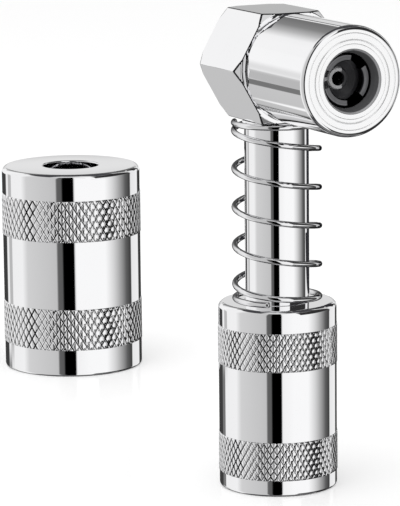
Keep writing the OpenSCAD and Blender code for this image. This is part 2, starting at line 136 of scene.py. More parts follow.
def along_nozzle(p):
    """Point of a piece drawn up +Z from the stem's axis, laid along the nozzle."""
    return (p[2], p[1], HEAD_Z - p[0])


def nozzle_from(distance):
    """Placing of a piece drawn from z = 0 that starts at a distance along the nozzle."""
    return lambda p: along_nozzle((p[0], p[1], p[2] + distance))


def stem_from(height):
    """Placing of a piece drawn from z = 0 that starts at a height on the stem's axis."""
    return lambda p: (p[0], p[1], p[2] + height)


def at_wide(p):
    """Point of a piece drawn round the stem's axis, moved to the wide sleeve."""
    return (p[0] + WIDE_PLACE[0], p[1] + WIDE_PLACE[1], p[2])


def arc_corner(before, corner, after, radius, steps):
    """Points of the arc that rounds one corner of an outline, which takes at most half of either side."""
    to_before = (before - corner).normalized()
    to_after = (after - corner).normalized()
    half = to_before.angle(to_after) / 2
    if half > math.radians(89.5):
        return [corner] * (steps + 1)
    room = 0.49 * min((before - corner).length, (after - corner).length)
    reach = min(radius / math.tan(half), room)
    size = reach * math.tan(half)
    centre = corner + (to_before + to_after).normalized() * (size / math.sin(half))
    first = corner + to_before * reach - centre
    last = corner + to_after * reach - centre
    sweep = first.angle(last)
    points = []
    for i in range(steps + 1):
        blend = first * math.sin((1 - i / steps) * sweep) + last * math.sin(i / steps * sweep)
        points.append(centre + blend / math.sin(sweep))
    return points


def rounded(corners, closed=True, steps=4):
    """Outline whose corners are rounded. A corner is (radius, height) or (radius, height, rounding)."""
    points = []
    for i, corner in enumerate(corners):
        here = Vector(corner[:2])
        is_end = not closed and i in (0, len(corners) - 1)
        if is_end or len(corner) < 3:
            points.append(here)
            continue
        before = Vector(corners[i - 1][:2])
        after = Vector(corners[(i + 1) % len(corners)][:2])
        points.extend(arc_corner(before, here, after, corner[2], steps))
    return points


def grid_faces(rows, columns, wrap_rows, wrap_columns):
    """Quads between the points of a grid stored row by row."""
    faces = []
    for i in range(rows if wrap_rows else rows - 1):
        for k in range(columns if wrap_columns else columns - 1):
            j, m = (i + 1) % rows, (k + 1) % columns
            faces.append((i * columns + k, i * columns + m, j * columns + m, j * columns + k))
    return faces


def lathe(name, corners, material, place=None, steps=TURN_STEPS, arc=4):
    """Closed outline turned round +Z. Each of its rounded corners is an arc of that many steps."""
    outline = rounded(corners, steps=arc)
    verts = [
        (p.x * math.cos(2 * math.pi * k / steps), p.x * math.sin(2 * math.pi * k / steps), p.y)
        for p in outline for k in range(steps)
    ]
    obj = new_piece(name, verts, grid_faces(len(outline), steps, True, True), material, place)
    weight_normals(obj)
    return obj


def weight_normals(obj):
    """Large faces keep their own direction beside rounded edges."""
    modifier = obj.modifiers.new("weighted_normals", "WEIGHTED_NORMAL")
    modifier.mode = "FACE_AREA"
    modifier.weight = 100


def second_material(obj, material, chosen):
    """Gives a second material to the faces whose centre, in millimetres, chosen() accepts."""
    obj.data.materials.append(material)
    for face in obj.data.polygons:
        if chosen(face.center / MM):
            face.material_index = 1


def dressed(obj, body, slot, *nodes):
    """Puts a piece on its body, in the place of CAD nodes."""
    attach(obj, body)
    if nodes:
        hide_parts(*nodes)
    return obj


# Materials

def ramp_node(tree, stops):
    """Colour ramp with grey stops given as (position, value)."""
    node = tree.nodes.new("ShaderNodeValToRGB")
    elements = node.color_ramp.elements
    elements.remove(elements[-1])
    elements[0].position = stops[0][0]
    elements[0].color = (stops[0][1],) * 3 + (1,)
    for position, value in stops[1:]:
        element = elements.new(position)
        element.color = (value,) * 3 + (1,)
    return node


def feed(tree, socket, value):
    """Sets a socket to a number or a colour, or links it."""
    if isinstance(value, (int, float, tuple)):
        socket.default_value = value
    else:
        tree.links.new(value, socket)


def math_node(tree, operation, *values):
    """Math node whose inputs are sockets or numbers."""
    node = tree.nodes.new("ShaderNodeMath")
    node.operation = operation
    for socket, value in zip(node.inputs, values):
        feed(tree, socket, value)
    return node.outputs[0]


def vector_node(tree, operation, *values):
    """Vector math node whose inputs are sockets or triples of numbers."""
    node = tree.nodes.new("ShaderNodeVectorMath")
    node.operation = operation
    for socket, value in zip(node.inputs, values):
        feed(tree, socket, value)
    return node


def mix_colour(tree, factor, a, b):
    """Mix of two colours, each a socket or a colour."""
    node = tree.nodes.new("ShaderNodeMix")
    node.data_type = "RGBA"
    feed(tree, node.inputs[0], factor)
    feed(tree, node.inputs[6], a)
    feed(tree, node.inputs[7], b)
    return node.outputs[2]


def noise(tree, vector, scale, detail=3.0):
    """Noise between 0 and 1 at a scale per metre."""
    node = tree.nodes.new("ShaderNodeTexNoise")
    node.inputs["Scale"].default_value = scale
    node.inputs["Detail"].default_value = detail
    tree.links.new(vector, node.inputs["Vector"])
    return node.outputs["Fac"]


def bump(tree, shader, height, distance):
    """Relief of a height between 0 and 1, distance deep."""
    node = tree.nodes.new("ShaderNodeBump")
    node.inputs["Distance"].default_value = distance
    tree.links.new(height, node.inputs["Height"])
    tree.links.new(node.outputs["Normal"], shader.inputs["Normal"])


def base_material(name):
    """New material: its tree, its main shader and the piece's own coordinates."""
    material = bpy.data.materials.new(name)
    material.use_nodes = True
    tree = material.node_tree
    shader = tree.nodes["Principled BSDF"]
    place = tree.nodes.new("ShaderNodeTexCoord").outputs["Object"]
    return material, tree, shader, place


def metal(name, colour, roughness, spread, grain, relief, wear=0.06):
    """Metal with uneven polish: patches of roughness and tone, and fine marks of size 1/grain metres."""
    material, tree, shader, place = base_material(name)
    shader.inputs["Metallic"].default_value = 1.0
    patches = noise(tree, place, grain * 0.1, 4.0)
    polish = ramp_node(tree, [(0.3, max(roughness - spread, 0.0)), (0.75, roughness + spread)])
    tree.links.new(patches, polish.inputs["Fac"])
    tree.links.new(polish.outputs["Color"], shader.inputs["Roughness"])
    worn = tuple(c * (1 - wear) for c in colour)
    tree.links.new(mix_colour(tree, patches, colour + (1,), worn + (1,)), shader.inputs["Base Color"])
    bump(tree, shader, noise(tree, place, grain), relief)
    return material


def turned_metal(name, colour, roughness, pitch, relief, contrast=0.2, metallic=1.0):
    """Metal faced on a lathe round the nozzle's axis: fine rings, and patches of roughness over them."""
    material, tree, shader, place = base_material(name)
    shader.inputs["Metallic"].default_value = metallic
    from_axis = vector_node(tree, "SUBTRACT", place, (0, 0, HEAD_Z * MM))
    flat = vector_node(tree, "MULTIPLY", from_axis.outputs[0], (0, 1, 1))
    far = vector_node(tree, "LENGTH", flat.outputs[0])
    rings = tree.nodes.new("ShaderNodeTexNoise")
    rings.noise_dimensions = "1D"
    rings.inputs["Scale"].default_value = 1 / pitch
    rings.inputs["Detail"].default_value = 2.0
    tree.links.new(far.outputs["Value"], rings.inputs["W"])
    dark = tuple(c * (1 - contrast) for c in colour)
    tone = mix_colour(tree, rings.outputs["Fac"], colour + (1,), dark + (1,))
    tree.links.new(tone, shader.inputs["Base Color"])
    polish = ramp_node(tree, [(0.3, roughness * 0.7), (0.7, roughness * 1.3)])
    tree.links.new(noise(tree, place, 400.0), polish.inputs["Fac"])
    tree.links.new(polish.outputs["Color"], shader.inputs["Roughness"])
    bump(tree, shader, rings.outputs["Fac"], relief)
    return material


def rubber(name, colour, roughness):
    """Moulded rubber with a fine matt grain."""
    material, tree, shader, place = base_material(name)
    shader.inputs["Specular IOR Level"].default_value = 0.4
    grain = noise(tree, place, 3000.0)
    lighter = tuple(min(1.0, c * 1.5) for c in colour)
    tree.links.new(mix_colour(tree, grain, colour + (1,), lighter + (1,)), shader.inputs["Base Color"])
    matt = ramp_node(tree, [(0.3, roughness - 0.08), (0.7, roughness + 0.1)])
    tree.links.new(grain, matt.inputs["Fac"])
    tree.links.new(matt.outputs["Color"], shader.inputs["Roughness"])
    bump(tree, shader, grain, 0.02 * MM)
    return material


# Metals: colour, roughness and its spread, grain per metre, depth of the grain, wear
CHROME = metal("polished_chrome", (0.955, 0.955, 0.965), 0.03, 0.02, 900.0, 0.0003 * MM, 0.03)
# Near black chrome painted on the hexagon's edges, as a painted dark reflection
EDGE_PAINTED_REFLECTION = metal("edge_painted_dark_reflection", (0.03, 0.03, 0.033), 0.3, 0.1, 900.0, 0.0003 * MM, 0.1)
KNURL_CHROME = metal("knurled_chrome", (0.955, 0.955, 0.965), 0.1, 0.04, 2500.0, 0.002 * MM, 0.05)
WIRE = metal("chromed_wire", (0.9, 0.9, 0.91), 0.06, 0.03, 900.0, 0.0006 * MM, 0.06)
WIRE.node_tree.nodes["Principled BSDF"].inputs["Specular Tint"].default_value = (0.1, 0.1, 0.1, 1)
SPRING_STEEL = metal("spring_steel", (0.5, 0.5, 0.52), 0.3, 0.1, 2500.0, 0.004 * MM, 0.2)
ZINC = metal("zinc_steel", (0.66, 0.67, 0.68), 0.28, 0.1, 1800.0, 0.004 * MM, 0.15)
HARDENED = metal("hardened_steel", (0.03, 0.03, 0.034), 0.34, 0.1, 1600.0, 0.006 * MM, 0.3)

# Turned metals: colour, roughness, width and depth of the rings, then their contrast and how metallic
FACE_CHROME = turned_metal("turned_chrome", (0.985, 0.985, 0.99), 0.12, 0.08 * MM, 0.0006 * MM, 0.1)
JAW_FACE = turned_metal("jaw_face_steel", (0.27, 0.27, 0.28), 0.4, 0.3 * MM, 0.006 * MM, 0.8)
# The throat and the bore are painted darker than the mouth's edge, as painted shade deeper inside the barrel
BORE_PAINTED_SHADE = turned_metal("bore_painted_shade", (0.13, 0.13, 0.135), 0.25, 0.1 * MM, 0.002 * MM)
# Near black steel painted on the knurls' seats, as painted shade in the knurl's grooves
SEAT_PAINTED_SHADE = turned_metal("knurl_seat_painted_shade", (0.03, 0.03, 0.032), 0.4, 0.1 * MM, 0.002 * MM)
THROAT_PAINTED_SHADE = turned_metal("throat_painted_shade", (0.16, 0.16, 0.165), 0.5, 0.1 * MM, 0.004 * MM, metallic=0.4)
EDGE_STEEL = turned_metal("edge_steel", (0.5, 0.5, 0.51), 0.4, 0.1 * MM, 0.002 * MM, metallic=0.4)

BLACK_RUBBER = rubber("black_rubber", (0.018, 0.018, 0.02), 0.55)
SEAL_RUBBER = rubber("seal_rubber", (0.03, 0.03, 0.033), 0.4)
# Light grey painted on the seal as a highlight, on one side of its lip and in the left gap of the jaws
SEAL_PAINTED_HIGHLIGHT = rubber("seal_painted_highlight", (0.5, 0.5, 0.51), 0.35)

SLOT_MATERIALS = {
    "polished_chrome": CHROME,
    "knurled_chrome": CHROME,
    "chromed_wire": WIRE,
    "spring_wire": SPRING_STEEL,
    "zinc_steel": ZINC,
    "hardened_steel": HARDENED,
    "black_rubber": BLACK_RUBBER,
    "seal_rubber": SEAL_RUBBER,
}


def finish_cad_nodes():
    """Gives every CAD node the procedural finish of its slot."""
    for part in frame["record"]["subparts"]:
        mesh = frame["nodes"][part["node"]].data
        mesh.materials.clear()
        mesh.materials.append(SLOT_MATERIALS[part["material_slot"]])


# Sleeves

def sleeve_shell(name, outer_r, length, bands, place):
    """Turned sleeve with shallow seats for its knurled bands."""
    mouth_r = outer_r - MOUTH_WALL
    inner_r = mouth_r - BORE_STEP
    seat_r = outer_r - SEAT_DEPTH
    web_z = length - WEB
    recess_z = web_z + RECESS_DEPTH
    corners = [(mouth_r, 0, 0.2), (outer_r, 0, 0.5)]
    for low, high in bands:
        corners += [(outer_r, low, 0.04), (seat_r, low), (seat_r, high), (outer_r, high, 0.04)]
    corners += [
        (outer_r, length, 0.9), (SLEEVE_HOLE_R, length, 0.25), (SLEEVE_HOLE_R, recess_z, 0.05),
        (RECESS_R, recess_z), (RECESS_R, web_z, 0.05), (inner_r, web_z, 0.3), (inner_r, MOUTH_DEPTH, 0.05),
        (mouth_r, MOUTH_DEPTH),
    ]
    shell = lathe(name, corners, CHROME, place, arc=6)
    centre = place((0, 0, 0)) if place else (0, 0, 0)

    def in_seat(at):
        return abs(math.hypot(at.x - centre[0], at.y - centre[1]) - seat_r) < 0.05

    # The seats are painted near black, as painted shade between the knurl's diamonds
    second_material(shell, SEAT_PAINTED_SHADE, in_seat)
    return shell


def cut_square(bm, z, way, inner_r):
    """Cuts off what lies beyond a height, upward or downward, and walls the cut in to a smaller radius."""
    cut = bmesh.ops.bisect_plane(
        bm, geom=bm.verts[:] + bm.edges[:] + bm.faces[:], plane_co=(0, 0, z), plane_no=(0, 0, way),
        clear_outer=True)
    rim = [e for e in cut["geom_cut"] if isinstance(e, bmesh.types.BMEdge)]
    wall = bmesh.ops.extrude_edge_only(bm, edges=rim)["geom"]
    for v in (g for g in wall if isinstance(g, bmesh.types.BMVert)):
        inward = inner_r / math.hypot(v.co.x, v.co.y)
        v.co = (v.co.x * inward, v.co.y * inward, v.co.z)


def knurled_band(name, top_r, low, high, around, diamond_h, place):
    """Band of flat-topped diamonds between crossed grooves, whose floor is the seat under them, painted near
    black as shade.
    """
    # Depth of the grooves, shares of a diamond's room that its flat top and its foot take, cells along a side
    depth, land, foot, fine = 0.08, 0.74, 0.9, 2
    # Least and most that a corner of a top is raised, and how far the walls at the band's ends reach in
    lowest, highest, wall = -0.012, 0.004, 0.45
    rng = random.Random(name)
    step = 2 * math.pi / around
    verts, faces, tops = [], [], []

    def add_point(middle, size, p, q, r):
        """Adds one point of a diamond, whose size is a share of its room, and returns its number."""
        a, b = (p / fine - 0.5) * size, (q / fine - 0.5) * size
        u, v = middle[0] + (a + b) / 2, middle[1] + (a - b) / 2
        verts.append((r * math.cos(u * step), r * math.sin(u * step), v * diamond_h))
        return len(verts) - 1

    ring = [(p, 0) for p in range(fine)] + [(fine, q) for q in range(fine)]
    ring += [(p, fine) for p in range(fine, 0, -1)] + [(0, q) for q in range(fine, 0, -1)]
    for row in range(math.floor(2 * low / diamond_h), math.ceil(2 * high / diamond_h) + 1):
        for i in range(around):
            middle = (i + 0.5 * (row % 2), row / 2)
            lift = [rng.uniform(lowest, highest) for _ in range(4)]
            start = len(verts)
            for p in range(fine + 1):
                for q in range(fine + 1):
                    s, t = p / fine, q / fine
                    rise = (lift[0] * (1 - s) + lift[1] * s) * (1 - t) + (lift[2] * (1 - s) + lift[3] * s) * t
                    add_point(middle, land, p, q, top_r + rise)
            for p in range(fine):
                for q in range(fine):
                    k = start + p * (fine + 1) + q
                    tops.append(len(faces))
                    faces.append((k, k + 1, k + fine + 2, k + fine + 1))
            inner = [start + p * (fine + 1) + q for p, q in ring]
            outer = [add_point(middle, foot, p, q, top_r - depth) for p, q in ring]
            for k in range(len(ring)):
                m = (k + 1) % len(ring)
                faces.append((inner[k], inner[m], outer[m], outer[k]))

    mesh = bpy.data.meshes.new(name)
    mesh.from_pydata(verts, [], faces)
    bm = bmesh.new()
    bm.from_mesh(mesh)
    bm.faces.ensure_lookup_table()
    for k in tops:
        bm.faces[k].smooth = True
    bmesh.ops.remove_doubles(bm, verts=bm.verts, dist=1e-4)
    cut_square(bm, low, -1, top_r - wall)
    cut_square(bm, high, 1, top_r - wall)
    bmesh.ops.recalc_face_normals(bm, faces=bm.faces)
    for v in bm.verts:
        v.co = Vector(place(v.co) if place else v.co) * MM
    bm.to_mesh(mesh)
    bm.free()
    mesh.materials.append(KNURL_CHROME)
    obj = bpy.data.objects.new(name, mesh)
    bpy.context.scene.collection.objects.link(obj)
    return obj


def make_sleeves():
    """Both sleeves, each a turned shell with two knurled bands of so many diamonds of one height."""
    proud = 0.1
    jobs = (
        ("sleeve", "knurled_sleeve", SLEEVE_R, SLEEVE_LEN, ((2.6, 8.8), (20.3, 26.5)), 57, 1.73, None),
        ("spare_sleeve", "wide_sleeve", WIDE_R, WIDE_LEN, ((5.0, 12.7), (25.5, 33.2)), 57, 2.29, at_wide),
    )
    for body, node, outer_r, length, bands, around, diamond_h, place in jobs:
        dressed(sleeve_shell(node + "_shell", outer_r, length, bands, place), body, "knurled_chrome", node)
        for label, (low, high) in zip(("low", "high"), bands):
            band = knurled_band(
                f"{node}_band_{label}", outer_r + proud, low, high, around, diamond_h, place)
            dressed(band, body, "knurled_chrome")


# Springs

def wound_wire(name, size, material, place, per_turn=72, sides=20, share=(0.0, 1.0)):
    """Coil with closed ends, standing on z = 0, or a share of it. Its ends are cut square and worn."""
    outer_d, wire, room, turns, flat, ramp, hand, start = size
    worn_girth, worn_share = 0.8, 0.3
    mean_r = (outer_d - wire) / 2
    pitch = (room - wire) / (turns - 2 * flat - ramp)

    def half_rise(n):
        if n <= flat:
            return 0.0
        return (n - flat) ** 2 / (2 * ramp) if n <= flat + ramp else n - flat - ramp / 2

    def rise(n):
        return half_rise(n) if n <= turns / 2 else turns - 2 * flat - ramp - half_rise(turns - n)

    begin, end = turns * share[0], turns * share[1]
    rings = math.ceil((end - begin) * per_turn)
    worn = wire / 2 / (2 * math.pi * mean_r) * worn_share
    stations = [(begin, worn_girth), (begin + worn, 1.0)]
    stations += [(begin + (end - begin) * i / rings, 1.0) for i in range(1, rings)]
    stations += [(end - worn, 1.0), (end, worn_girth)]
    verts = []
    for n, girth in stations:
        slope = max(0.0, min(1.0, (n - flat) / ramp, (turns - n - flat) / ramp))
        tilt = math.atan(pitch * slope / (2 * math.pi * mean_r))
        a = math.radians(start) + hand * 2 * math.pi * n
        z = wire / 2 + pitch * rise(n)
        for k in range(sides):
            c = 2 * math.pi * k / sides
            out = mean_r + wire / 2 * girth * math.cos(c)
            lean = wire / 2 * girth * math.sin(c)
            verts.append((
                out * math.cos(a) - lean * math.sin(tilt) * math.sin(a),
                out * math.sin(a) + lean * math.sin(tilt) * math.cos(a),
                z - lean * hand * math.cos(tilt),
            ))
    faces = grid_faces(len(stations), sides, False, True)
    last = (len(stations) - 1) * sides
    faces += [tuple(range(sides)), tuple(range(last + sides - 1, last - 1, -1))]
    obj = new_piece(name, verts, faces, material, place)
    obj.data.polygons[-1].use_smooth = False
    obj.data.polygons[-2].use_smooth = False
    weight_normals(obj)
    return obj


def make_springs():
    """The springs, as smooth round wire."""
    outer = wound_wire("return_spring_wire", RETURN_SPRING, WIRE, stem_from(SLEEVE_LEN))
    dressed(outer, "root", "chromed_wire", "return_spring")
    outer.visible_glossy = False
    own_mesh(outer)
    inner = wound_wire(
        "jaw_spring_wire", JAW_SPRING, SPRING_STEEL, nozzle_from(BOSS_FRONT), per_turn=48, sides=12)
    dressed(inner, "root", "spring_wire", "jaw_spring")
    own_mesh(inner)
    # The seal spring's rear half stays on the root. Its front half rides the collar
    halves = (
        ("rear", (0.0, 0.498), "root", "collar_slide", -2.5, 0.639, ("seal_spring",)),
        ("front", (0.502, 1.0), "collar", "piston_slide", 1.375, 0.587, ()),
    )
    for label, share, body, joint, anchor, keep, nodes in halves:
        half = wound_wire(
            f"seal_spring_wire_{label}", SEAL_SPRING, SPRING_STEEL, nozzle_from(CROSS_REAR),
            per_turn=40, sides=10, share=share)
        dressed(half, body, "spring_wire", *nodes)
        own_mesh(half)
    valve_room = FITTING_SPRING[2]
    valve = wound_wire(
        "fitting_spring_wire", FITTING_SPRING, SPRING_STEEL, stem_from(STEM_Z - valve_room),
        per_turn=32, sides=8)
    dressed(valve, "root", "spring_wire", "fitting_spring")
    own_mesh(valve)


# Head

def hexagon_outline(half_width, corner_r, flat_steps, arc_steps):
    """Points (y, z) of a hexagon with flats top and bottom and rounded corners."""
    reach = half_width / math.cos(math.pi / 6)
    corners = [
        Vector((reach * math.cos(math.pi / 3 * k), reach * math.sin(math.pi / 3 * k))) for k in range(6)
    ]
    points = []
    for k, corner in enumerate(corners):
        arc = arc_corner(corners[k - 1], corner, corners[(k + 1) % 6], corner_r, arc_steps)
        if points:
            points += [points[-1].lerp(arc[0], i / flat_steps) for i in range(1, flat_steps)]
        points += arc
    points += [points[-1].lerp(points[0], i / flat_steps) for i in range(1, flat_steps)]
    return points


def make_hexagon():
    """Hexagonal body with chamfered ends, its boss and the cross bore, as one skin."""
    half_width, chamfer_r, chamfer_slope, edge = 8.75, 9.2, 1.0, 0.6
    corner_r, flat_steps, arc_steps = 0.24, 24, 6
    # Painted dark reflection lines: how wide they are at the ends, and where they run along a corner
    line, corner_turn, corner_reach, side_height = 0.27, 29.1, 9.9, 1.0
    columns = []
    for p in hexagon_outline(half_width, corner_r, flat_steps, arc_steps):
        r = p.length
        drop = max(r - chamfer_r, 0.0) * chamfer_slope
        flat_r = min(r, chamfer_r)
        profile = rounded([
            (0.0, CROSS_REAR), (CROSS_R, CROSS_REAR), (CROSS_R, BOSS_FRONT, 0.1), (BOSS_R, BOSS_FRONT, 0.2),
            (BOSS_R, HEX_FRONT), (flat_r - 0.2, HEX_FRONT), (flat_r - 0.01, HEX_FRONT, edge),
            (r, HEX_FRONT - drop, edge), (r, HEX_REAR + drop, edge), (flat_r - 0.01, HEX_REAR, edge),
            (0.0, HEX_REAR),
        ], closed=False)
        columns.append([(q.x * p.x / r, q.x * p.y / r, q.y) for q in profile])
    rows = len(columns[0])
    verts = [column[i] for i in range(rows) for column in columns]
    obj = new_piece(
        "hex_body_skin", verts, grid_faces(rows, len(columns), False, True), CHROME,
        lambda q: (q[2], q[0], HEAD_Z + q[1]))

    def on_painted_dark_line(centre):
        """True on the painted dark reflection lines: round both ends, and along the corners apart from the
        two at mid height.
        """
        y, z = centre.y, centre.z - HEAD_Z
        r = math.hypot(y, z)
        off_flat = abs(math.degrees(math.atan2(z, y)) % 60.0 - 30.0)
        edge_r = half_width / math.cos(math.radians(off_flat))
        drop = max(edge_r - chamfer_r, 0.0) * chamfer_slope
        reach = min(abs(HEX_FRONT - drop - centre.x), abs(centre.x - HEX_REAR - drop))
        at_end = math.hypot(edge_r - r, reach) < line
        at_corner = off_flat > corner_turn and r > corner_reach and abs(z) > side_height
        return at_end or at_corner

    # The hexagon's edge lines get near black chrome, as a painted dark reflection
    second_material(obj, EDGE_PAINTED_REFLECTION, on_painted_dark_line)
    weight_normals(obj)
    dressed(obj, "root", "polished_chrome", "hex_body")


def make_barrel():
    """Barrel of the nozzle, with its softened rim, fine turned face, and a throat and bore painted dark as
    shade.
    """
    front, rear, rim, rim_steps = BARREL_FRONT, BARREL_REAR, 0.8, 10
    mouth_r, lip_r, lip_depth, throat_r, throat_depth = 5.0, 4.72, 0.3, 4.25, 1.9
    corners = [(BORE_R, rear), (BARREL_R, rear, 0.3)]
    for k in range(rim_steps + 1):
        a = math.pi / 2 * k / rim_steps
        corners.append((BARREL_R - rim + rim * math.cos(a), front - rim + rim * math.sin(a)))
    # Fine turned grooves of the face: outer and inner radius, slope of their sides, depth, rounding
    grooves = ((7.48, 7.37, 0.02, 0.06, 0.02), (6.5, 6.28, 0.06, 0.12, 0.03))
    for outer_r, inner_r, slope, depth, soft in grooves:
        corners += [
            (outer_r, front, soft), (outer_r - slope, front - depth), (inner_r + slope, front - depth),
            (inner_r, front, soft),
        ]
    corners += [
        (5.79, front, 0.02), (5.75, front - 0.03), (5.71, front, 0.02),
        (mouth_r, front, 0.12), (lip_r, front - lip_depth, 0.1), (throat_r, front - throat_depth, 0.05),
        (6.045, COLLAR_FRONT), (BORE_R, COLLAR_FRONT),
    ]
    barrel = lathe("nose_barrel_skin", corners, CHROME, along_nozzle, steps=256, arc=5)
    face_index, bore_index, lip_index, edge_index = 1, 2, 3, 4
    for material in (FACE_CHROME, BORE_PAINTED_SHADE, THROAT_PAINTED_SHADE, EDGE_STEEL):
        barrel.data.materials.append(material)
    # The throat and the bore get darker materials, as painted shade inside the mouth
    for face in barrel.data.polygons:
        centre = face.center / MM
        r = math.hypot(centre.y, centre.z - HEAD_Z)
        inward = front - centre.x
        if lip_r + 0.02 < r < mouth_r - 0.02 and inward < lip_depth + 0.03:
            face.material_index = edge_index
        elif throat_r - 0.05 < r < mouth_r + 0.03 and inward < throat_depth + 0.05:
            face.material_index = lip_index
        elif r < mouth_r - 0.06 or (r < BORE_R + 0.05 and inward > 0.6):
            face.material_index = bore_index
        elif r < BARREL_R - rim - 0.01 and inward < 0.2:
            face.material_index = face_index
    dressed(barrel, "root", "polished_chrome", "nose_barrel")


def make_jaws():
    """Three hardened jaws with softened edges and lighter ground front faces."""
    rear, front, inner_r, hook_r, cone_r, steps = 16.85, 23.2, 3.6, 2.95, 5.98, 28
    outline = rounded([
        (inner_r, rear, 0.1), (cone_r, rear, 0.15), (4.36, 22.9, 0.06), (3.85, front, 0.04),
        (3.1, front, 0.05), (hook_r, 23.05, 0.05), (hook_r, 21.8, 0.1), (inner_r, 21.15, 0.1),
    ], steps=3)
    count = len(outline)
    for index in range(3):
        middle = math.radians(90 + JAW_TURN + index * 120)
        verts = []
        for k in range(steps + 1):
            a = middle + math.radians(JAW_ANGLE) * (k / steps - 0.5)
            verts += [(p.x * math.cos(a), p.x * math.sin(a), p.y) for p in outline]
        faces = grid_faces(steps + 1, count, False, True)
        faces += [tuple(range(count)), tuple(range(steps * count + count - 1, steps * count - 1, -1))]
        jaw = new_piece(f"jaw_{index + 1}_steel", verts, faces, HARDENED, along_nozzle)
        bevel = jaw.modifiers.new("soft_edges", "BEVEL")
        bevel.width = 0.06 * MM
        bevel.segments = 2
        bevel.limit_method = "ANGLE"
        bevel.angle_limit = math.radians(50)
        weight_normals(jaw)
        second_material(jaw, JAW_FACE, lambda c: c.x > front - 0.02)
        dressed(jaw, "jaw_" + "abc"[index], "hardened_steel", f"jaw_{index + 1}")


def make_seal():
    """Seal with a raised lip round its hole, with a highlight painted in light grey on the lip and in the
    left gap of the jaws.
    """
    rear, front, lip_z, cup_z, floor_z = 18.46, 20.9, 20.6, 20.15, 20.0
    hole_r, lip_r, cup_r, seal_r = 1.05, 1.6, 1.8, 3.5
    seal = lathe("nozzle_seal_rubber", [
        (hole_r, rear), (seal_r, rear, 0.15), (seal_r, front, 0.15), (2.8, front, 0.1), (cup_r, cup_z, 0.1),
        (lip_r, lip_z, 0.1), (hole_r, lip_z, 0.1),
    ], SEAL_RUBBER, along_nozzle, steps=96)

    def in_painted_highlight(centre):
        """True where the highlight is painted: on the lip round the hole, and on the part of the cup that the
        left gap of the jaws bares.
        """
        y, z = centre.y, centre.z - HEAD_Z
        r = math.hypot(y, z)
        on_lip = 1.1 < r < 1.7 and y < 0.6
        in_gap = r < 3.4 and y < 0 and abs(z) < 0.16 * r
        return centre.x > floor_z and (on_lip or in_gap)

    # These faces get the painted highlight
    second_material(seal, SEAL_PAINTED_HIGHLIGHT, in_painted_highlight)
    dressed(seal, "piston", "seal_rubber", "nozzle_seal")


def make_piston_and_collar():
    """Piston behind the seal, with the groove of its ring, and the follower behind the jaws."""
    rear, groove_rear, groove_front, flange_rear, flange_front = 5.25, 7.85, 9.15, 14.65, 15.55
    shoulder, tip = 18.4, 19.6
    hole_r, neck_r, groove_r, piston_r, flange_r = 1.2, 1.8, 2.04, 3.0, 4.2
    piston = lathe("seal_piston_steel", [
        (hole_r, rear, 0.1), (piston_r, rear, 0.15), (piston_r, groove_rear, 0.05), (groove_r, groove_rear),
        (groove_r, groove_front), (piston_r, groove_front, 0.05), (piston_r, flange_rear),
        (flange_r, flange_rear, 0.12), (flange_r, flange_front, 0.12), (piston_r, flange_front),
        (piston_r, shoulder, 0.1), (neck_r, shoulder), (neck_r, tip, 0.1), (hole_r, tip),
    ], ZINC, along_nozzle, steps=96)
    dressed(piston, "piston", "zinc_steel", "seal_piston")
    collar_hole_r, collar_r = 3.05, 6.32
    collar = lathe("jaw_collar_steel", [
        (collar_hole_r, COLLAR_REAR, 0.1), (collar_r, COLLAR_REAR, 0.12), (collar_r, COLLAR_FRONT, 0.12),
        (collar_hole_r, COLLAR_FRONT, 0.1),
    ], HARDENED, along_nozzle, steps=96)
    dressed(collar, "collar", "zinc_steel", "jaw_collar")


# Stem

def make_stem():
    """Stem, its seal washer and the barrel's seal ring."""
    hole_r, groove_r, spigot_r, groove_low, groove_high, spigot_z = 1.6, 4.55, 4.0, 24.8, 25.8, 64.25
    stem = lathe("stem_tube_skin", [
        (hole_r, STEM_Z), (STEM_R, STEM_Z, 0.3), (STEM_R, groove_low, 0.05), (groove_r, groove_low),
        (groove_r, groove_high), (STEM_R, groove_high, 0.05), (STEM_R, SHOULDER_Z, 0.15),
        (spigot_r, SHOULDER_Z), (spigot_r, spigot_z, 0.3), (hole_r, spigot_z),
    ], CHROME)
    dressed(stem, "root", "polished_chrome", "stem_tube")
    washer_hole_r, washer_r = 4.02, 5.45
    washer = lathe("stem_seal_washer_skin", [
        (washer_hole_r, SHOULDER_Z), (washer_r, SHOULDER_Z, 0.25), (washer_r, HEX_FLAT_Z, 0.2),
        (washer_hole_r, HEX_FLAT_Z),
    ], CHROME, arc=5)
    dressed(washer, "root", "zinc_steel", "stem_seal_washer")
    ring_r, ring_x, cord_r, cord_steps = 6.98, (HEX_FRONT + BARREL_REAR) / 2, 0.24, 16
    turns = [2 * math.pi * k / cord_steps for k in range(cord_steps)]
    ring = lathe("barrel_o_ring_rubber", [
        (ring_r + cord_r * math.cos(a), ring_x + cord_r * math.sin(a)) for a in turns
    ], BLACK_RUBBER, along_nozzle)
    dressed(ring, "root", "black_rubber", "barrel_o_ring")


# Studio

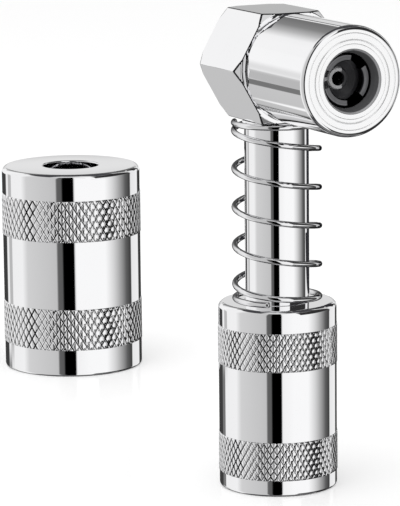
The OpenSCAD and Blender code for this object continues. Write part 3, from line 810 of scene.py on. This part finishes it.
def make_world():
    """White studio: plain for the camera and for soft light, with dark gaps between soft boxes for gloss."""
    world = bpy.data.worlds.new("studio")
    bpy.context.scene.world = world
    world.use_nodes = True
    tree = world.node_tree
    tree.nodes.clear()
    split = tree.nodes.new("ShaderNodeSeparateXYZ")
    tree.links.new(tree.nodes.new("ShaderNodeTexCoord").outputs["Generated"], split.inputs[0])
    x, y, z = split.outputs

    def add(a, b):
        return math_node(tree, "ADD", a, b)

    def multiply(a, b):
        return math_node(tree, "MULTIPLY", a, b)

    def degrees_of(turn_share):
        return multiply(math_node(tree, "SUBTRACT", turn_share, 0.5), 360.0)

    def band(source, stops):
        """Grey by degrees, from a source that goes from 0 at -180 to 1 at 180."""
        node = ramp_node(tree, [(degrees / 360 + 0.5, value) for degrees, value in stops])
        tree.links.new(source, node.inputs["Fac"])
        return node.outputs["Color"]

    def step(source, start, end):
        """Rises from 0 at start to 1 at end, whichever of them is larger."""
        node = tree.nodes.new("ShaderNodeMapRange")
        node.interpolation_type = "SMOOTHSTEP"
        node.inputs["From Min"].default_value = min(start, end)
        node.inputs["From Max"].default_value = max(start, end)
        node.inputs["To Min"].default_value = 0.0 if start < end else 1.0
        node.inputs["To Max"].default_value = 1.0 if start < end else 0.0
        tree.links.new(source, node.inputs["Value"])
        return node.outputs[0]

    def window(source, low, high, soft):
        """1 between low and high, 0 outside, with edges twice as wide as soft."""
        return multiply(step(source, low - soft, low + soft), step(source, high + soft, high - soft))

    # Shares of a turn round the set from its front, which lies 26 degrees clockwise of +X, and from its back
    turned = math_node(tree, "SUBTRACT", math_node(tree, "ARCTAN2", y, x), math.radians(-26.0))
    share = math_node(tree, "FRACT", add(math_node(tree, "DIVIDE", turned, 2 * math.pi), 1.5))
    back_share = math_node(tree, "FRACT", add(share, 0.5))
    turn, back_turn = degrees_of(share), degrees_of(back_share)
    rise = multiply(math_node(tree, "ARCSINE", z), 180 / math.pi)

    # Grey all round the set, by degrees from the front, positive to the right
    gloss = band(share, [
        (-180, 0.05), (-139, 0.05), (-137, 0.9), (-90, 0.92), (-78, 0.66),
        (-34, 0.58), (-23.5, 0.55), (-22, 0.12), (-13.5, 0.1), (-12.5, 0.0),
        (6, 0.0), (7.5, 0.93), (30, 1.0), (60, 1.0), (76, 0.7), (90, 0.4), (105, 0.12),
        (119, 0.04), (121, 0.85), (148, 0.9), (152, 0.02), (180, 0.02),
    ])
    # Cards and dark screens over it: heights, turns, grey at turns, softness of the upper and lower edge
    front_cards = (
        (24, 48, 118, 136, ((118, 0.7), (136, 0.5)), 1.0),
        (10, 34, 137, 170, ((137, 0.03), (170, 0.03)), 1.0),
        (9, 51, 44, 117, ((44, 0.03), (117, 0.03)), 2.0),
        (-51, -23, 40, 150, ((40, 0.03), (150, 0.03)), 2.0),
        (36, 51, 132, 178, ((132, 0.08), (178, 0.08)), 1.0),
    )
    # The same behind the set, by degrees from straight behind, positive to the left
    back_cards = (
        (-17.2, -8, -30, 41, ((-30, 0.04), (41, 0.05)), 0.4),
        (-27.5, -17.2, -30, 58, ((-30, 0.04), (29, 0.06), (32, 0.56), (58, 0.6)), 0.5),
        (-33, -26.5, -20, 58, (
            (-20, 0.1), (17, 0.12), (18.5, 0.7), (21, 0.7), (23, 0.05), (26, 0.05), (27.5, 0.54),
            (34, 0.56), (35, 1.0), (37, 1.0), (39, 0.6), (58, 0.6)), 0.5),
        (-8, 45, -24, 57, ((-24, 0.9), (10, 0.9), (40, 0.95), (57, 0.98)), 0.6),
        (-12.4, -3, 51, 62, ((51, 0.5), (62, 0.5)), 0.6),
        (-3, 4, 51, 62, ((51, 0.78), (62, 0.78)), 3.0),
        (-17.2, -12.4, 40.5, 53, ((40.5, 0.19), (53, 0.19)), 0.4),
        (3, 8.2, -20, 20, ((-20, 0.48), (20, 0.5)), 1.0),
        (8.8, 14.7, -20, 20, ((-20, 0.72), (20, 0.72)), 1.0),
        (15.0, 16.4, -20, 16, ((-20, 0.02), (16, 0.02)), 0.5),
        (18.2, 45, -24, 57, (
            (-24, 0.12), (6, 0.18), (15, 0.24), (24.5, 0.5), (34, 0.92), (41, 0.95), (57, 0.95)), 0.5),
    )
    for cards, turning, around in ((front_cards, turn, share), (back_cards, back_turn, back_share)):
        for low, high, start, end, stops, soft in cards:
            mask = multiply(window(rise, low, high, soft), window(turning, start, end, 0.7))
            gloss = mix_colour(tree, mask, gloss, band(around, stops))
    # Dark above and below, then one light and one grey patch in it: heights, turns, grey
    for start, end in ((50, 54), (-50, -58)):
        gloss = mix_colour(tree, step(rise, start, end), gloss, (0.06, 0.06, 0.065, 1))
    for low, high, start, end, value in ((52, 78, -45, 60, 0.7), (-88, -64, -45, 130, 0.2)):
        mask = multiply(window(rise, low, high, 1.0), window(turn, start, end, 2.0))
        gloss = mix_colour(tree, mask, gloss, (value, value, value, 1))
    path = tree.nodes.new("ShaderNodeLightPath")
    seen = mix_colour(tree, path.outputs["Is Diffuse Ray"], gloss, (0.85, 0.85, 0.85, 1))
    seen = mix_colour(tree, path.outputs["Is Camera Ray"], seen, (1, 1, 1, 1))
    back = tree.nodes.new("ShaderNodeBackground")
    tree.links.new(seen, back.inputs["Color"])
    out = tree.nodes.new("ShaderNodeOutputWorld")
    tree.links.new(back.outputs[0], out.inputs["Surface"])


def make_floor():
    """White floor that keeps the soft shadow and a faint mirror image. Sizes in metres."""
    half, drop = 3.0, 0.02 * MM
    paint, glow_strength, gloss_share, gloss_roughness = 0.8, 0.28, 0.12, 0.08
    mesh = bpy.data.meshes.new("floor")
    corners = [(-half, -half, 0), (half, -half, 0), (half, half, 0), (-half, half, 0)]
    mesh.from_pydata(corners, [], [(0, 1, 2, 3)])
    floor = bpy.data.objects.new("floor", mesh)
    bpy.context.scene.collection.objects.link(floor)
    floor.location.z = -drop
    floor.visible_glossy = False
    material = bpy.data.materials.new("white_floor")
    material.use_nodes = True
    tree = material.node_tree
    tree.nodes.clear()
    diffuse = tree.nodes.new("ShaderNodeBsdfDiffuse")
    diffuse.inputs["Color"].default_value = (paint, paint, paint, 1)
    glow = tree.nodes.new("ShaderNodeEmission")
    path = tree.nodes.new("ShaderNodeLightPath")
    strength = math_node(tree, "MULTIPLY", path.outputs["Is Camera Ray"], glow_strength)
    feed(tree, glow.inputs["Strength"], strength)
    gloss = tree.nodes.new("ShaderNodeBsdfGlossy")
    gloss.inputs["Roughness"].default_value = gloss_roughness
    mixed = tree.nodes.new("ShaderNodeMixShader")
    mixed.inputs[0].default_value = gloss_share
    tree.links.new(diffuse.outputs[0], mixed.inputs[1])
    tree.links.new(gloss.outputs[0], mixed.inputs[2])
    both = tree.nodes.new("ShaderNodeAddShader")
    tree.links.new(mixed.outputs[0], both.inputs[0])
    tree.links.new(glow.outputs[0], both.inputs[1])
    out = tree.nodes.new("ShaderNodeOutputMaterial")
    tree.links.new(both.outputs[0], out.inputs["Surface"])
    mesh.materials.append(material)


def studio_card(name, verts, faces, colour):
    """One-sided glowing card that only glossy rays see, from points in millimetres."""
    mesh = bpy.data.meshes.new(name)
    mesh.from_pydata([tuple(c * MM for c in v) for v in verts], [], faces)
    card = bpy.data.objects.new(name, mesh)
    bpy.context.scene.collection.objects.link(card)
    card.visible_camera = False
    card.visible_diffuse = False
    card.visible_shadow = False
    card.visible_transmission = False
    material = bpy.data.materials.new(name)
    material.use_nodes = True
    tree = material.node_tree
    tree.nodes.clear()
    glow = tree.nodes.new("ShaderNodeEmission")
    glow.inputs["Color"].default_value = colour
    clear = tree.nodes.new("ShaderNodeBsdfTransparent")
    sides = tree.nodes.new("ShaderNodeMixShader")
    tree.links.new(tree.nodes.new("ShaderNodeNewGeometry").outputs["Backfacing"], sides.inputs[0])
    tree.links.new(glow.outputs[0], sides.inputs[1])
    tree.links.new(clear.outputs[0], sides.inputs[2])
    out = tree.nodes.new("ShaderNodeOutputMaterial")
    tree.links.new(sides.outputs[0], out.inputs["Surface"])
    mesh.materials.append(material)


def make_white_card():
    """White card between the two sleeves, so that the wide one doesn't mirror the coupler."""
    reach, height, place = 14.0, 60.0, -30.0
    verts = [(place, -reach, 0), (place, reach, 0), (place, reach, height), (place, -reach, height)]
    studio_card("white_card", verts, [(3, 2, 1, 0)], (1, 1, 1, 1))


def make_stem_cards():
    """Dark cards behind the stem on its right, which only its dark edge mirrors: one upright, one lying."""
    steps, first_turn, sweep = 12, 93, 32
    upright_r, upright_heights, lying_radii, lying_z = 20.0, (36.5, 57.5), (9.7, 70.0), 29.5
    turns = [math.radians(first_turn + sweep * k / steps) for k in range(steps + 1)]
    faces = [(k, steps + 1 + k, steps + 2 + k, k + 1) for k in range(steps)]
    upright = [(upright_r * math.cos(a), upright_r * math.sin(a), z) for z in upright_heights for a in turns]
    lying = [(r * math.cos(a), r * math.sin(a), lying_z) for r in lying_radii for a in turns]
    for name, verts in (("dark_card_upright", upright), ("dark_card_lying", lying)):
        studio_card(name, verts, faces, (0.03, 0.03, 0.035, 1))


def make_light():
    """One wide soft box overhead, which the gloss doesn't mirror. Sizes and places in metres."""
    place, target, width, energy = Vector((0.25, -0.3, 0.9)), Vector((-0.04, 0, 0.03)), 0.9, 3.0
    lamp = bpy.data.lights.new("soft_box", "AREA")
    lamp.shape = "DISK"
    lamp.size = width
    lamp.energy = energy
    holder = bpy.data.objects.new("soft_box", lamp)
    bpy.context.scene.collection.objects.link(holder)
    holder.location = place
    holder.rotation_euler = (place - target).to_track_quat("Z", "Y").to_euler()
    holder.visible_glossy = False


def make_camera():
    """Camera at the photograph's viewpoint."""
    sin_a, cos_a = math.sin(VIEW_AZIMUTH), math.cos(VIEW_AZIMUTH)
    sin_e, cos_e = math.sin(VIEW_ELEVATION), math.cos(VIEW_ELEVATION)
    back = Vector((sin_a * cos_e, -cos_a * cos_e, sin_e))
    level = Vector((cos_a, sin_a, 0))
    rise = back.cross(level)
    right = level * math.cos(VIEW_ROLL) + rise * math.sin(VIEW_ROLL)
    up = rise * math.cos(VIEW_ROLL) - level * math.sin(VIEW_ROLL)
    place = (level * TARGET_RIGHT + Vector((0, 0, TARGET_HEIGHT)) + back * VIEW_DISTANCE) * MM
    lens = bpy.data.cameras.new("camera")
    lens.sensor_fit = "VERTICAL"
    lens.sensor_height = SENSOR_HEIGHT
    lens.lens = LENS
    lens.clip_start = 0.01
    lens.clip_end = 20.0
    camera = bpy.data.objects.new("camera", lens)
    bpy.context.scene.collection.objects.link(camera)
    camera.matrix_world = Matrix((
        (right.x, up.x, back.x, place.x),
        (right.y, up.y, back.y, place.y),
        (right.z, up.z, back.z, place.z),
        (0, 0, 0, 1),
    ))
    bpy.context.scene.camera = camera


make_camera()
make_world()
make_floor()
make_white_card()
make_stem_cards()
make_light()
finish_cad_nodes()
make_sleeves()
make_springs()
make_hexagon()
make_barrel()
make_jaws()
make_seal()
make_piston_and_collar()
make_stem()

bpy.context.scene.view_settings.view_transform = "Standard"
